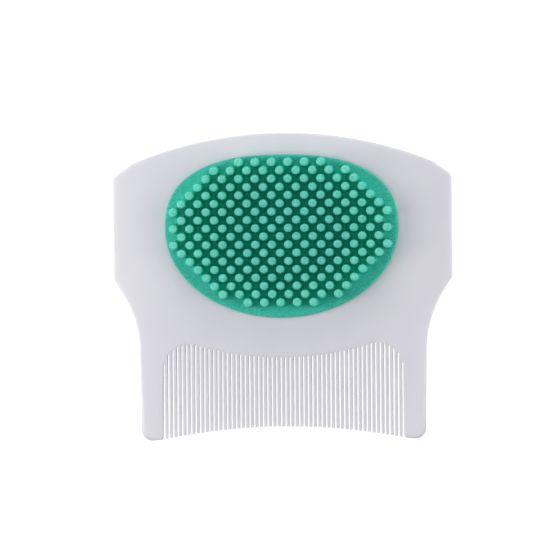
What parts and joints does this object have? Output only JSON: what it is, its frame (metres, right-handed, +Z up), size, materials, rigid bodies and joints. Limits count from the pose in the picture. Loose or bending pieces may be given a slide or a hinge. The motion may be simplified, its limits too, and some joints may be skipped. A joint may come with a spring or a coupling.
{
  "type": "flea comb",
  "caption": "Palm-size pet flea comb: hollow white handle with fine teeth between two guard legs and a soft oval brush pad on its face.",
  "frame": {"origin": "on the surface that the comb lies on, under the middle of its outline", "axes": "+Z up out of the brush side, +Y from the teeth to the arched top edge, +X across the width"},
  "size_m": [0.0826, 0.0746, 0.0152],
  "materials": {
    "white_plastic": "satin",
    "green_rubber": "satin",
    "grey_plastic": "matte"
  },
  "bodies": {
    "root": {"front_shell": "white_plastic", "back_cover": "white_plastic", "brush_pad": "green_rubber", "pad_carrier": "grey_plastic"}
  },
  "joints": []
}
